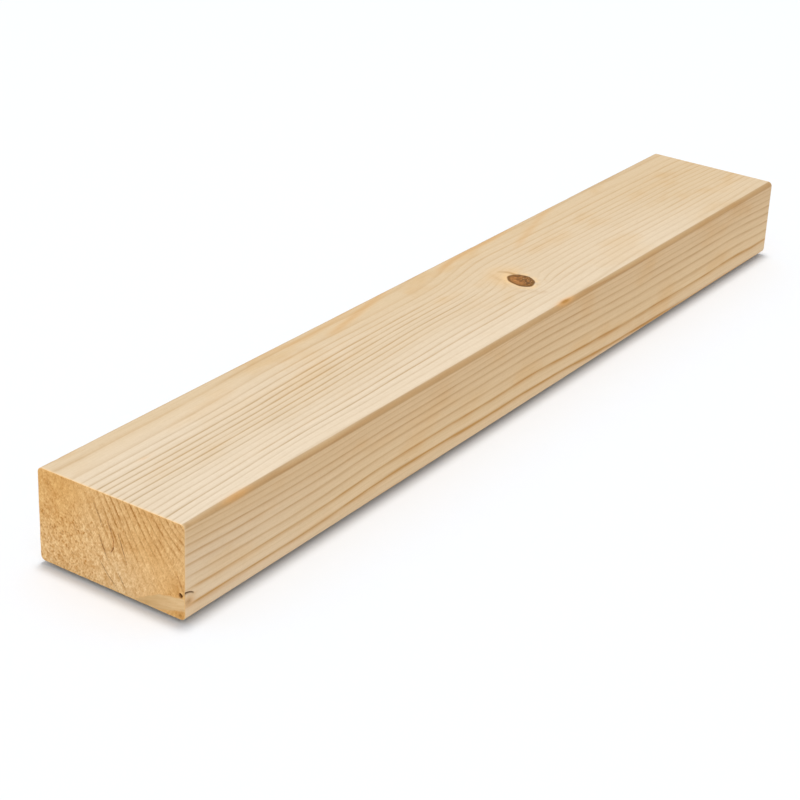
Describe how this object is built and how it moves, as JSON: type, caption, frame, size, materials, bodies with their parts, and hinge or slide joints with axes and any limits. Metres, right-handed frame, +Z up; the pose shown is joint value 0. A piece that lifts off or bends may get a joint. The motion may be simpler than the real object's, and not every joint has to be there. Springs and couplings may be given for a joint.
{
  "type": "timber plank",
  "caption": "Short length of planed softwood plank: rectangular section, eased long arrises, square-sawn ends, ring grain that runs true through every face and a small knot.",
  "frame": {"origin": "centre of the bottom broad face, on the floor that the plank lies on", "axes": "+Y along the grain, from the end with the pin hole to the other end; +X across the width; +Z up through the thickness"},
  "size_m": [0.09, 0.6, 0.05],
  "materials": {
    "wood": "planed, unfinished"
  },
  "bodies": {
    "root": {"plank": "wood"}
  },
  "joints": []
}
